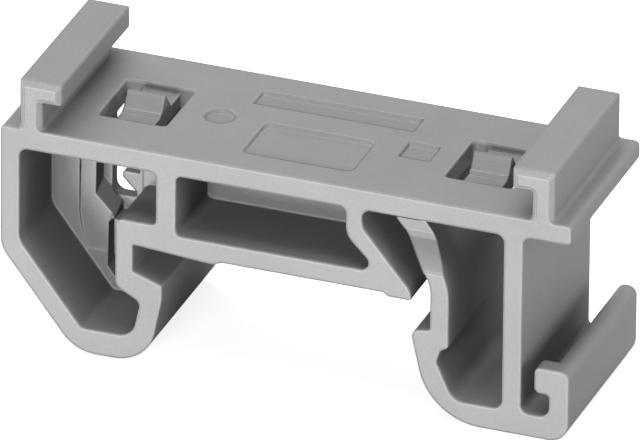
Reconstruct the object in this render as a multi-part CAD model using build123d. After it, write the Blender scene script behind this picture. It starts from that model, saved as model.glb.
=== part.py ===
from build123d import *
import math
import os

# One-piece snap-on adapter for a 15 mm mounting rail, in millimetres.
# X runs along the profile, Y through the depth, +Z up.
# The origin is the middle of the rail seat: rail centre line, mid depth, underside of the pads.

# Mounting rail the adapter snaps on (15 x 5.5 mm top-hat section, 1 mm sheet)
rail_width = 15.0
rail_thickness = 1.0

# Overall body
depth = 9.5
body_offset = 0.1
plate_length = 28.56
plate_top = 5.4
plate_thickness = 1.07
ledge_thickness = 1.0
edge_bevel = 0.05
wall = 0.95
plate_end_radius = 0.24
inner_radius = 0.35

# Device hooks on top of the plate, set in from the plate ends
hook_setback = 0.9
hook_post = 1.13
hook_reach = 2.1
hook_height = 2.53
lip_height = 1.13
hook_corner = 0.1
hook_chamfer = 0.27
hook_back_run = 0.41
hook_base_fillet = 0.16
hook_toe_fillet = 0.37

# Web above the rail, pads that rest on the rail flanges
web_underside = 0.18
web_top = 1.18
pad_left_run = 4.0
pad_width = 1.16

# Rail hook on the left and its hollow foot
slot_top = 0.29
hook_nose_reach = 1.48
hook_nose_z = -1.62
hook_nose_face = 0.78
hook_taper = 0.69
block_wall = 0.88
block_top = 1.55
cell_web_set = 1.15
cell_web_width = 1.0
left_foot_bottom = -5.9
left_foot_width = 3.69
foot_wall = 1.28
slope_rise = 4.86

# Spring arm with snap foot on the right
arm_preload = 0.08
arm_thickness = 0.93
arm_bend_z = 1.25
arm_root_run = 2.06
arm_root_z = 3.37
arm_recess = 1.25
arm_step_z = 1.68
foot_lip_reach = 0.99
foot_lip_z = -1.53
foot_lip_rise = 0.16
right_foot_bottom = -6.05
foot_floor = -4.87
right_web_gap = 2.38

# Diagonal strut between web and plate
strut_gap = 0.96
strut_lean = 3.28
strut_width = 0.8
strut_top_z = 3.43
strut_end_z = 0.47

# Release lug on the outside of the snap foot
lug_reach = 1.72
lug_top = -2.32
lug_underside = -3.67
lug_wall = 0.98
lug_depth = 0.93
lug_radius = 0.44

# Mid-depth partition that closes the left and centre cells, with the stepped left chamber
partition = 0.95
chamber_inset = 2.36
chamber_back = 1.38
shaft_inset = 3.13
shaft_wall = 0.07
shaft_floor = -0.87
shaft_step = 0.74
panel_floor = -2.65
panel_deep = 0.28
panel_shallow = 0.04
block_front = -0.95
block_back = 2.8

# Latch tongues in the two plate windows
latch_spacing = 17.4
latch_centre_y = -0.08
window_length = 3.4
window_depth = 3.93
window_radius = 0.25
window_bevel = 0.05
tongue_width = 1.93
tongue_drop = 0.32
tongue_gap = 0.25
tongue_fillet = 0.06
nose_rise = 0.57
flex_room = 0.3

# Shallow sunk fields in the plate surface
sunk = 0.2
sunk_draft = 25
dot_diameter = 1.5
field_square = 1.6
field_pitch = 10.0
field_y = -0.07
strip_length = 8.1
strip_width = 1.37
strip_y = 2.41
label_length = 5.56
label_width = 3.32
label_y = -1.54
label_radius = 0.42

half = depth / 2
plate_bottom = plate_top - plate_thickness
ledge_bottom = plate_top - ledge_thickness
left_end = body_offset - plate_length / 2
right_end = body_offset + plate_length / 2
slot_end = -rail_width / 2
slot_mouth = rail_thickness + slot_top - 0.19
hook_outer = plate_length / 2 - hook_setback
hook_inner = hook_outer - hook_post
hook_tip = hook_outer - hook_reach
hook_top = plate_top + hook_height
lip_underside = hook_top - lip_height
hook_nose_x = slot_end + hook_nose_reach
heel_x = hook_nose_x - hook_taper - left_foot_width
block_left = slot_end - block_wall
cell_web_left = slot_end + cell_web_set
cell_web_right = cell_web_left + cell_web_width
arm_left = rail_width / 2 - arm_preload
arm_right = arm_left + arm_thickness
arm_root_x = arm_left - arm_root_run
foot_lip_x = arm_left - foot_lip_reach
strut_end_x = arm_left - strut_gap
strut_left_x = strut_end_x - strut_lean
strut_right_x = strut_left_x + strut_width
pad_left_x = slot_end + pad_left_run
pad_right_x = strut_end_x - pad_width
right_web_right = right_end - right_web_gap
right_web_left = right_web_right - wall
lug_wall_left = right_end - lug_wall
lug_left = right_end - lug_reach
window_left = body_offset - latch_spacing / 2
window_right = body_offset + latch_spacing / 2
tongue_top = plate_top - tongue_drop
nose_height = plate_top + nose_rise
panel_left = left_end + chamber_inset
shaft_left = left_end + shaft_inset
shaft_right = block_left - shaft_wall


def rounded_face(corners):
    """Face in the XZ plane from (x, z, radius) corners."""
    count = len(corners)
    starts = []
    mids = []
    ends = []
    for i in range(count):
        x, z, radius = corners[i]
        before = corners[i - 1]
        after = corners[(i + 1) % count]
        a = Vector(before[0] - x, before[1] - z).normalized()
        b = Vector(after[0] - x, after[1] - z).normalized()
        corner = Vector(x, z)
        if radius == 0:
            starts.append(corner)
            mids.append(None)
            ends.append(corner)
            continue
        opening = math.acos(max(-1.0, min(1.0, a.dot(b))))
        run = radius / math.tan(opening / 2)
        bisector = (a + b).normalized()
        centre = corner + bisector * (radius / math.sin(opening / 2))
        starts.append(corner + a * run)
        mids.append(centre - bisector * radius)
        ends.append(corner + b * run)
    edges = []
    for i in range(count):
        following = starts[(i + 1) % count]
        if mids[i] is not None:
            edges.append(ThreePointArc(starts[i], mids[i], ends[i]))
        if (following - ends[i]).length > 1e-6:
            edges.append(Line(ends[i], following))
    return Plane.XZ * make_face(edges)


def through(corners, front=-half, back=half):
    """Prism from (x, z, radius) corners between two depths."""
    solid = extrude(rounded_face(corners), amount=back - front)
    return Pos(0, back, 0) * solid


def body_corners():
    """Outer outline, clockwise from the top left end of the plate."""
    return [
        (left_end, plate_top, plate_end_radius),
        (right_end, plate_top, plate_end_radius),
        (right_end, ledge_bottom, plate_end_radius),
        (right_web_right, ledge_bottom, 0.4),
        (right_web_right, foot_floor, 0.42),
        (lug_wall_left, foot_floor, 0.5),
        (lug_wall_left, lug_top, lug_radius),
        (right_end, lug_top, lug_radius),
        (right_end, right_foot_bottom, 1.0),
        (foot_lip_x + 1.04, right_foot_bottom, 3.2),
        (foot_lip_x, foot_lip_z, 0.4),
        (arm_left, foot_lip_z + foot_lip_rise, 0.12),
        (arm_left, arm_bend_z, 1.9),
        (arm_root_x, arm_root_z, 1.6),
        (arm_root_x - 0.56, plate_bottom, 0.1),
        (strut_right_x, plate_bottom, 0.42),
        (strut_right_x, strut_top_z, 0.75),
        (strut_end_x, strut_end_z, 0.8),
        (strut_end_x, 0, 0.1),
        (pad_right_x, 0, 0.1),
        (pad_right_x - 0.25, web_underside, 0.1),
        (pad_left_x + 0.5, web_underside, 0.1),
        (pad_left_x, 0, 0.2),
        (slot_end, slot_top, 0.08),
        (slot_end, -slot_mouth, 0.08),
        (hook_nose_x, hook_nose_z, 0.12),
        (hook_nose_x, hook_nose_z - hook_nose_face, 1.6),
        (hook_nose_x - hook_taper, left_foot_bottom, 2.08),
        (heel_x, left_foot_bottom, 2.08),
        (left_end, left_foot_bottom + slope_rise, 1.5),
    ]


def left_cell_corners():
    """Hollow between outer wall, plate, web and rail hook."""
    inner = left_end + wall
    floor = left_foot_bottom + foot_wall
    return [
        (inner, plate_bottom, 0.42),
        (cell_web_left, plate_bottom, inner_radius),
        (cell_web_left, block_top, 0.22),
        (block_left, block_top, 0.4),
        (block_left, hook_nose_z - 0.42, 0.5),
        (hook_nose_x - 1.1, hook_nose_z - 1.1, 0.42),
        (hook_nose_x - 1.5, floor, 0.85),
        (heel_x + 0.32, floor, 0.4),
        (inner, floor + 4.12, 1.0),
    ]


def centre_cell_corners():
    """Hollow between the two webs under the middle of the plate."""
    return [
        (cell_web_right, plate_bottom, 0.3),
        (strut_left_x, plate_bottom, 0.38),
        (strut_left_x, strut_top_z - 0.58, 1.1),
        (strut_left_x + 1.67, web_top, 0.38),
        (cell_web_right, web_top, 0.3),
    ]


def right_cell_corners():
    """Open hollow inside the snap foot loop."""
    return [
        (arm_root_x + 0.89, plate_bottom, 0.4),
        (right_web_left, plate_bottom, 0.45),
        (right_web_left, foot_floor, 0.45),
        (arm_right + 0.27, foot_floor, 0.8),
        (arm_right - 0.59, foot_floor + 1.87, 0.4),
        (arm_right - 0.4, foot_floor + 2.49, 0.3),
        (arm_right, foot_floor + 2.72, 0.2),
        (arm_right, arm_bend_z + 0.11, 3.4),
    ]


def release_lug():
    """Inward nose on the front end of the outer foot wall, where a screwdriver pulls."""
    seat = right_end - lug_radius
    low = lug_underside - 0.6
    corners = [
        (lug_left, lug_underside, 0.3),
        (lug_left, lug_top, 0.3),
        (seat, lug_top, 0),
        (seat, low, 0),
        (lug_wall_left, low, 0),
        (lug_wall_left, lug_underside, 0.22),
    ]
    return through(corners, -half, -half + lug_depth)


def make_body():
    """Extruded profile with its hollows and the light bevel on both end faces."""
    body = through(body_corners()) + release_lug()
    body -= through(left_cell_corners())
    body -= through(centre_cell_corners())
    body -= through(right_cell_corners())
    ends = body.edges().filter_by_position(Axis.Y, -half, -half)
    ends += body.edges().filter_by_position(Axis.Y, half, half)
    return chamfer(ends, edge_bevel)


def hook_outline(side, inset, toe, flare):
    """Section of a hook drawn in by inset, standing on the height toe."""
    outer = hook_outer - inset
    inner = hook_inner + inset
    tip = hook_tip + inset
    crown = hook_corner - 0.1 * inset
    corners = [
        (outer + flare + 0.02, toe - 0.2, 0),
        (outer + flare + 0.02, toe, 0),
        (outer, toe, flare),
        (outer, hook_top - inset, crown),
        (tip, hook_top - inset, crown),
        (tip, lip_underside + inset, crown),
        (inner, lip_underside + inset, 0.04 + inset),
        (inner, toe, flare),
        (inner - flare - 0.02, toe, 0),
        (inner - flare - 0.02, toe - 0.2, 0),
    ]
    return rounded_face([(body_offset + side * x, z, r) for x, z, r in corners])


def make_hook(side):
    """Hook over the device foot, side -1 on the left and 1 on the right."""
    front = -half + hook_chamfer
    back = half - hook_back_run
    middle = hook_outline(side, 0, plate_top, hook_base_fillet)
    end = hook_outline(side, hook_chamfer, plate_top - edge_bevel, hook_toe_fillet)
    hook = Pos(0, back, 0) * extrude(middle, amount=back - front)
    hook += loft([Pos(0, -half, 0) * end, Pos(0, front, 0) * middle], ruled=True)
    hook += loft([Pos(0, half, 0) * end, Pos(0, back, 0) * middle], ruled=True)
    return hook


def plate_windows():
    """Cutter for one latch window with its bevelled rim, centred on the origin."""
    opening = Pos(0, 0, plate_bottom - 0.2) * extrude(
        RectangleRounded(window_length, window_depth, window_radius), amount=plate_thickness + 1
    )
    length = window_length + 2 * window_bevel
    width = window_depth + 2 * window_bevel
    rim = Pos(0, 0, plate_top) * extrude(
        RectangleRounded(length, width, window_radius + window_bevel), amount=-window_bevel, taper=45
    )
    wall_y = window_depth / 2
    lead = Polyline(
        (wall_y - 0.1, plate_top + 0.1),
        (wall_y + tongue_fillet + 0.1, plate_top + 0.1),
        (wall_y + tongue_fillet, plate_top),
        (wall_y, plate_top - tongue_fillet),
        (wall_y - 0.1, plate_top - tongue_fillet),
        close=True,
    )
    relief = extrude(Plane.YZ * make_face(lead), amount=tongue_width)
    return opening + rim + Pos(-tongue_width / 2, 0, 0) * relief


def latch_tongue():
    """Springing tongue rooted in the back rim of a window, centred on the origin."""
    front = -window_depth / 2 + tongue_gap
    back = window_depth / 2
    side_view = Polyline(
        (front, plate_bottom),
        (front, tongue_top),
        (-0.72, tongue_top),
        (-0.62, tongue_top + 0.16),
        (-0.48, tongue_top + 0.16),
        (-0.15, nose_height - 0.09),
        (-0.06, nose_height),
        (0.0, nose_height),
        (0.69, tongue_top),
        (back - tongue_fillet, tongue_top),
        (back, tongue_top + tongue_fillet),
        (back + 0.3, tongue_top + tongue_fillet),
        (back + 0.3, plate_bottom),
        close=True,
    )
    face = Plane.YZ * make_face(side_view)
    return Pos(-tongue_width / 2, 0, 0) * extrude(face, amount=tongue_width)


def arm_recess_cutter():
    """Narrows the upper part of the spring arm from one end face."""
    top = plate_bottom
    side_view = Polyline(
        (-half - 1, arm_step_z - 0.06),
        (-half, arm_step_z - 0.06),
        (-half + 0.08, arm_step_z + 0.08),
        (-half + arm_recess - 0.1, arm_step_z + arm_recess - 0.1),
        (-half + arm_recess, arm_step_z + arm_recess + 0.14),
        (-half + arm_recess, top),
        (-half - 1, top),
        close=True,
    )
    wedge = Pos(arm_root_x - 2, 0, 0) * extrude(Plane.YZ * make_face(side_view), amount=8)
    zone = through(
        [
            (arm_left - 1.12, arm_step_z - 0.18, 0),
            (arm_root_x - 1.11, arm_root_z + 0.6, 0),
            (arm_root_x - 1.11, top, 0),
            (arm_right + 1.25, top, 0),
            (arm_right + 1.25, arm_step_z - 0.18, 0),
        ],
        front=-half - 1,
    )
    return wedge & zone


def sunk_fields():
    """Cutters for the shallow fields in the top of the plate."""
    fields = Pos(body_offset - field_pitch / 2, field_y) * Circle(dot_diameter / 2)
    fields += Pos(body_offset + field_pitch / 2, field_y) * Rectangle(field_square, field_square)
    fields += Pos(body_offset, strip_y) * Rectangle(strip_length, strip_width)
    fields += Pos(body_offset, label_y) * RectangleRounded(label_length, label_width, label_radius)
    return Pos(0, 0, plate_top) * extrude(fields, amount=-sunk, taper=sunk_draft)


def shaft_section(depth_at, corner_rise):
    """Section of the latch shaft at one depth; its lower left corner is cut off slanting."""
    toe = shaft_left + 1.0
    top = plate_bottom + 0.2
    face = rounded_face(
        [
            (shaft_left, top, 0),
            (shaft_right, top, 0),
            (shaft_right, shaft_floor, 0),
            (toe, shaft_floor, 0),
            (toe, shaft_floor + corner_rise, 0),
            (shaft_left, shaft_floor + 0.98 + 1.21 * corner_rise, 0),
        ]
    )
    return Pos(0, depth_at, 0) * face


def left_partition():
    """Partition of the left cell with the stepped chamber below the left latch."""
    half_web = partition / 2
    top = plate_bottom + 0.2
    inside = cell_web_left + 0.15
    low = block_top - 0.35
    cell = through(left_cell_corners(), -half_web, chamber_back)
    cover = through(left_cell_corners(), -half_web, half_web)
    outer = through(
        [
            (panel_left, top, 0),
            (panel_left, panel_floor + 1.4, 1.2),
            (panel_left + 0.52, panel_floor, 0.2),
            (block_left + 0.08, panel_floor, 0),
            (block_left + 0.08, low, 0),
            (inside, low, 0),
            (inside, top, 0),
        ],
        half_web - 0.1,
        chamber_back,
    )
    solid = cover + (outer & cell)
    solid -= loft([shaft_section(-half_web - 0.01, 0.04), shaft_section(shaft_step, 0.47)], ruled=True)
    solid -= through(
        [
            (shaft_left + 0.43, top, 0),
            (shaft_left + 1.8, top, 0),
            (shaft_left + 1.8, shaft_floor + 0.68, 0.3),
            (shaft_left + 0.43, shaft_floor + 0.68, 0.5),
        ],
        shaft_step - 0.1,
        chamber_back,
    )
    solid += through(
        [
            (shaft_left + 1.85, shaft_floor + 1.97, 0),
            (shaft_left + 0.95, shaft_floor + 1.97, 0.1),
            (shaft_left + 0.97, shaft_floor + 1.66, 0.1),
            (shaft_left + 1.66, shaft_floor + 0.97, 0.03),
            (shaft_left + 1.66, shaft_floor + 0.57, 0),
            (shaft_left + 1.85, shaft_floor + 0.57, 0),
        ],
        shaft_step,
        chamber_back,
    )
    solid -= through(
        [
            (shaft_left + 0.68, shaft_floor - 0.3, 0.08),
            (shaft_left + 0.93, shaft_floor + 0.02, 0),
            (shaft_left + 0.98, shaft_floor + 0.02, 0),
            (shaft_left + 0.98, panel_floor - 0.2, 0.1),
            (shaft_left + 2.1, panel_floor - 0.2, 0),
            (shaft_left + 2.1, panel_floor - 1.58, 0),
            (shaft_left + 1.3, panel_floor - 1.58, 0),
            (shaft_left + 0.68, panel_floor - 0.8, 0.1),
        ],
        -half_web - 0.1,
        chamber_back,
    )
    roof = plate_bottom - flex_room
    solid += through(
        [(shaft_right, roof, 0), (inside, roof, 0), (inside, low, 0), (shaft_right, low, 0)],
        block_front,
        block_back,
    )
    room = Pos(window_left, latch_centre_y, roof) * extrude(
        Rectangle(window_length, window_depth), amount=flex_room
    )
    return solid - room


def thin_panel():
    """Shallow tilted relief in the front of the left partition."""
    front = -partition / 2
    slab_view = Polyline(
        (front - 0.2, plate_bottom),
        (front + panel_deep, plate_bottom),
        (front + panel_shallow, panel_floor),
        (front - 0.2, panel_floor),
        close=True,
    )
    slab = Pos(panel_left - 0.5, 0, 0) * extrude(Plane.YZ * make_face(slab_view), amount=3)
    zone = through(
        [
            (panel_left, plate_bottom, 0),
            (panel_left, panel_floor + 1.75, 2.4),
            (panel_left + 0.32, panel_floor, 0),
            (shaft_left + 0.85, panel_floor, 0),
            (shaft_left + 0.85, plate_bottom, 0),
        ],
        front - 0.3,
        front + 0.5,
    )
    return slab & zone


def make_adapter():
    """The complete one-piece moulding."""
    adapter = make_body()
    for side in (-1, 1):
        adapter += make_hook(side)
    adapter += through(centre_cell_corners(), -partition / 2, partition / 2)
    adapter += left_partition()
    adapter -= thin_panel()
    recess = arm_recess_cutter()
    adapter -= recess
    adapter -= mirror(recess, about=Plane.XZ)
    adapter -= sunk_fields()
    for x in (window_left, window_right):
        adapter -= Pos(x, latch_centre_y, 0) * plate_windows()
        adapter += Pos(x, latch_centre_y, 0) * latch_tongue()
    return adapter


adapter_body = make_adapter()
adapter_body.label = "adapter_body"
print("solids", len(adapter_body.solids()), "valid", adapter_body.is_valid)
box = adapter_body.bounding_box()
print("size", [round(v, 2) for v in (box.size.X, box.size.Y, box.size.Z)])

os.makedirs("parts", exist_ok=True)
export_step(adapter_body, "parts/adapter_body.step")
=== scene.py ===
import bpy
import math
from mathutils import Euler, Matrix, Vector


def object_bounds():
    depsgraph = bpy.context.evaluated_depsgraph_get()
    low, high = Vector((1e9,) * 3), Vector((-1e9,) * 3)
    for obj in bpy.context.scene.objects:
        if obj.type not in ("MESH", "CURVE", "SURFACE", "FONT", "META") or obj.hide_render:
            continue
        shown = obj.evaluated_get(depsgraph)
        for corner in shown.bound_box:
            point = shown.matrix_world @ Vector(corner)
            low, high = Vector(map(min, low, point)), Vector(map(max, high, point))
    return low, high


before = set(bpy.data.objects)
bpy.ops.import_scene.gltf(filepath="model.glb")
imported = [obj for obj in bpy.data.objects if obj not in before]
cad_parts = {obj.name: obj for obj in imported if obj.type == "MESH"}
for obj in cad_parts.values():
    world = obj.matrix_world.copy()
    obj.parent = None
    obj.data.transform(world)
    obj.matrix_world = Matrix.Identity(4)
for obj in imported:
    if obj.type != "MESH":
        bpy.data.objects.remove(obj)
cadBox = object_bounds()
print("frame loaded:", ", ".join(sorted(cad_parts)))


def combine(tree, operation, first, second):
    node = tree.nodes.new("ShaderNodeMath")
    node.operation = operation
    tree.links.new(first, node.inputs[0])
    tree.links.new(second, node.inputs[1])
    return node.outputs[0]


# view of the photograph
cameraSetup = {
    "place": (0.295563, -0.802038, 0.445902),
    "turn": 20.219,       # degrees round Z
    "height": 27.511,     # degrees above the horizon
    "roll": 0.57,
    "lens": 1150.0,       # a longer one puts the object past the far clip in the other views
    "sensor": 36.0,
    "shift": (-0.00078, 0.00078),
    "clip": (0.1, 10.0),
}


def makeCamera():
    data = bpy.data.cameras.new("camera")
    data.sensor_width = cameraSetup["sensor"]
    data.lens = cameraSetup["lens"]
    data.shift_x, data.shift_y = cameraSetup["shift"]
    data.clip_start, data.clip_end = cameraSetup["clip"]
    camera = bpy.data.objects.new("camera", data)
    tilt = math.radians(90.0 - cameraSetup["height"])
    turn = Euler((tilt, 0.0, math.radians(cameraSetup["turn"]))).to_matrix()
    roll = Matrix.Rotation(math.radians(cameraSetup["roll"]), 3, "Z")
    camera.matrix_world = Matrix.Translation(cameraSetup["place"]) @ (turn @ roll).to_4x4()
    bpy.context.scene.collection.objects.link(camera)
    bpy.context.scene.camera = camera


# white where it is seen, mirrored or seen through, and almost dark as a light
room = {
    "colour": (1.0, 1.0, 1.0, 1.0),
    "litLevel": 0.02,
    "seenLevel": 1.0,
}


def makeWorld():
    world = bpy.data.worlds.new("room")
    world.use_nodes = True
    tree = world.node_tree
    tree.nodes.clear()
    path = tree.nodes.new("ShaderNodeLightPath")
    straight = combine(
        tree, "MAXIMUM", path.outputs["Is Camera Ray"], path.outputs["Is Transmission Ray"]
    )
    seen = combine(tree, "MAXIMUM", straight, path.outputs["Is Glossy Ray"])
    mix = tree.nodes.new("ShaderNodeMixShader")
    tree.links.new(seen, mix.inputs[0])
    for socket, level in ((1, room["litLevel"]), (2, room["seenLevel"])):
        background = tree.nodes.new("ShaderNodeBackground")
        background.inputs["Color"].default_value = room["colour"]
        background.inputs["Strength"].default_value = level
        tree.links.new(background.outputs[0], mix.inputs[socket])
    out = tree.nodes.new("ShaderNodeOutputWorld")
    tree.links.new(mix.outputs[0], out.inputs[0])
    bpy.context.scene.world = world


# soft studio. az 0 is the photographed face, counted towards the right; el is the height
# in degrees. Lamps that don't bounce leave the deep hollows dark
lampDistance = 0.6
lamps = {
    "frontLow": {"az": -20.0, "el": -15.0, "size": 0.20, "watts": 2.15, "bounces": 0},
    "frontHigh": {"az": 0.0, "el": 15.0, "size": 0.15, "watts": 1.47, "bounces": 0},
    "rightLow": {"az": 90.0, "el": 7.0, "size": 0.30, "watts": 1.0, "bounces": 0},
    "rightHigh": {"az": 60.0, "el": 55.0, "size": 0.40, "watts": 0.38, "bounces": 1},
    "top": {"az": 0.0, "el": 88.0, "size": 0.40, "watts": 1.38, "bounces": 1},
    "backLeft": {"az": -135.0, "el": 50.0, "size": 0.40, "watts": 0.86, "bounces": 1},
    "backLow": {"az": -165.0, "el": -12.0, "size": 0.15, "watts": 1.20, "bounces": 0},
}


def addLamp(name, setup):
    lamp = bpy.data.lights.new(name, "AREA")
    lamp.shape = "SQUARE"
    lamp.size = setup["size"]
    lamp.energy = setup["watts"]
    lamp.cycles.max_bounces = setup["bounces"]
    holder = bpy.data.objects.new(name, lamp)
    az = math.radians(setup["az"])
    el = math.radians(setup["el"])
    away = Vector((math.sin(az) * math.cos(el), -math.cos(az) * math.cos(el), math.sin(el)))
    holder.location = away * lampDistance
    holder.rotation_euler = (-away).to_track_quat("-Z", "Y").to_euler()
    bpy.context.scene.collection.objects.link(holder)


floorSetup = {
    "size": 1.6,
    "gap": 0.00001,       # below the lowest point of the object
    "colour": (0.86, 0.86, 0.86, 1.0),
    "glow": 0.85,         # for the camera only, so it gives no light
}


def makeFloor():
    height = cadBox[0][2] - floorSetup["gap"]
    bpy.ops.mesh.primitive_plane_add(size=floorSetup["size"], location=(0.0, 0.0, height))
    floor = bpy.context.object
    floor.name = "floor"
    material = bpy.data.materials.new("paleFloor")
    material.use_nodes = True
    tree = material.node_tree
    tree.nodes.clear()
    path = tree.nodes.new("ShaderNodeLightPath")
    matt = tree.nodes.new("ShaderNodeBsdfDiffuse")
    matt.inputs["Color"].default_value = floorSetup["colour"]
    glow = tree.nodes.new("ShaderNodeEmission")
    glowLevel = tree.nodes.new("ShaderNodeMath")
    glowLevel.operation = "MULTIPLY"
    glowLevel.inputs[1].default_value = floorSetup["glow"]
    tree.links.new(path.outputs["Is Camera Ray"], glowLevel.inputs[0])
    tree.links.new(glowLevel.outputs[0], glow.inputs["Strength"])
    add = tree.nodes.new("ShaderNodeAddShader")
    out = tree.nodes.new("ShaderNodeOutputMaterial")
    tree.links.new(matt.outputs[0], add.inputs[0])
    tree.links.new(glow.outputs[0], add.inputs[1])
    tree.links.new(add.outputs[0], out.inputs[0])
    floor.data.materials.append(material)
    floor.visible_shadow = False    # the low lamps shine through it; it still takes shadows


bpy.context.scene.view_settings.view_transform = "Standard"
makeCamera()
makeWorld()
for name, setup in lamps.items():
    addLamp(name, setup)
makeFloor()
print("camera, lamps and floor made")

# grey moulded polyamide, with painted shade and painted highlight along its edges
plastic = {
    "colour": (0.387, 0.384, 0.375),
    "noiseBand": (0.3, 0.7),        # where the noises have most of their values
    "clouding": 0.035,              # share of light and dark in the large clouds
    "cloudSize": 260.0,
    "cloudDetail": 3.0,
    "speckle": 0.045,
    "speckleSize": 9000.0,
    "speckleDetail": 2.0,
    "roughness": 0.52,
    "roughSpread": 0.06,
    "grainDepth": 0.000006,
    "grainStrength": 0.6,
    "grainSize": 5200.0,
    "grainDetail": 4.0,
    "edgeRound": 0.00015,           # radius of the rounding that every moulded edge shows; it also sets the width of the painted edge shade and highlight
    "edgeSamples": 8,
    "paintedEdgeLightLean": (0.35, -0.75, 0.56),    # direction of the painted edge light: front, right and up, fixed to the object
    "paintedEdgeShade": 0.88,               # painted shade: how far an edge darkens where it turns back, left or down
    "paintedEdgeShadeTurn": -0.32,          # lean at which the painted shade is darkest
    "paintedEdgeHighlight": 0.40,              # painted highlight: how far an edge lightens where it turns to the front, right or up
    # lean at which the painted highlight is brightest
    "paintedEdgeHighlightTurn": 0.1,
    "specular": 0.35,
}


def noise(tree, place, size, detail):
    node = tree.nodes.new("ShaderNodeTexNoise")
    node.inputs["Scale"].default_value = size
    node.inputs["Detail"].default_value = detail
    tree.links.new(place, node.inputs["Vector"])
    return node.outputs["Fac"]


def mapTo(tree, value, band, ends):
    node = tree.nodes.new("ShaderNodeMapRange")
    node.inputs["From Min"].default_value = band[0]
    node.inputs["From Max"].default_value = band[1]
    node.inputs["To Min"].default_value = ends[0]
    node.inputs["To Max"].default_value = ends[1]
    tree.links.new(value, node.inputs["Value"])
    return node.outputs[0]


def around(middle, spread):
    return (middle - spread, middle + spread)


def makePlastic():
    material = bpy.data.materials.new("greyPlastic")
    material.use_nodes = True
    tree = material.node_tree
    shader = tree.nodes["Principled BSDF"]
    place = tree.nodes.new("ShaderNodeTexCoord").outputs["Object"]
    band = plastic["noiseBand"]

    # wide faint clouds and a fine speckle vary the colour
    clouds = noise(tree, place, plastic["cloudSize"], plastic["cloudDetail"])
    cloudLevel = mapTo(tree, clouds, band, around(1.0, plastic["clouding"]))
    specks = noise(tree, place, plastic["speckleSize"], plastic["speckleDetail"])
    speckLevel = mapTo(tree, specks, band, around(1.0, plastic["speckle"]))
    both = combine(tree, "MULTIPLY", cloudLevel, speckLevel)

    # how far the rounded edge leans away from the flat face beside it
    rounding = tree.nodes.new("ShaderNodeBevel")
    rounding.samples = plastic["edgeSamples"]
    rounding.inputs["Radius"].default_value = plastic["edgeRound"]
    surface = tree.nodes.new("ShaderNodeNewGeometry")
    turn = tree.nodes.new("ShaderNodeVectorMath")
    turn.operation = "SUBTRACT"
    tree.links.new(rounding.outputs[0], turn.inputs[0])
    tree.links.new(surface.outputs["Normal"], turn.inputs[1])
    lean = tree.nodes.new("ShaderNodeVectorMath")
    lean.operation = "DOT_PRODUCT"
    lean.inputs[1].default_value = plastic["paintedEdgeLightLean"]
    tree.links.new(turn.outputs[0], lean.inputs[0])

    # painted shade and painted highlight along the edges, put into the base colour
    leaning = lean.outputs["Value"]
    paintedShadeBand = (plastic["paintedEdgeShadeTurn"], 0.0)
    paintedShadeLine = mapTo(tree, leaning, paintedShadeBand, (1.0 - plastic["paintedEdgeShade"], 1.0))
    paintedHighlightBand = (0.0, plastic["paintedEdgeHighlightTurn"])
    paintedHighlightLine = mapTo(tree, leaning, paintedHighlightBand, (1.0, 1.0 + plastic["paintedEdgeHighlight"]))
    paintedEdgeLightAndShade = combine(tree, "MULTIPLY", paintedShadeLine, paintedHighlightLine)

    # the random tone times the painted edge shade and highlight
    shade = combine(tree, "MULTIPLY", both, paintedEdgeLightAndShade)
    tint = tree.nodes.new("ShaderNodeVectorMath")
    tint.operation = "SCALE"
    tint.inputs[0].default_value = plastic["colour"]
    tree.links.new(shade, tint.inputs["Scale"])
    tree.links.new(tint.outputs[0], shader.inputs["Base Color"])

    # the eroded mould grain drives roughness and a very fine bump
    grain = noise(tree, place, plastic["grainSize"], plastic["grainDetail"])
    rough = mapTo(tree, grain, band, around(plastic["roughness"], plastic["roughSpread"]))
    tree.links.new(rough, shader.inputs["Roughness"])
    bump = tree.nodes.new("ShaderNodeBump")
    bump.inputs["Strength"].default_value = plastic["grainStrength"]
    bump.inputs["Distance"].default_value = plastic["grainDepth"]
    tree.links.new(grain, bump.inputs["Height"])
    tree.links.new(rounding.outputs[0], bump.inputs["Normal"])
    tree.links.new(bump.outputs[0], shader.inputs["Normal"])
    shader.inputs["Specular IOR Level"].default_value = plastic["specular"]
    return material


greyPlastic = makePlastic()
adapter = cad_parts["adapter_body"]
for slot in adapter.material_slots:
    slot.material = greyPlastic
print("plastic set on the adapter")
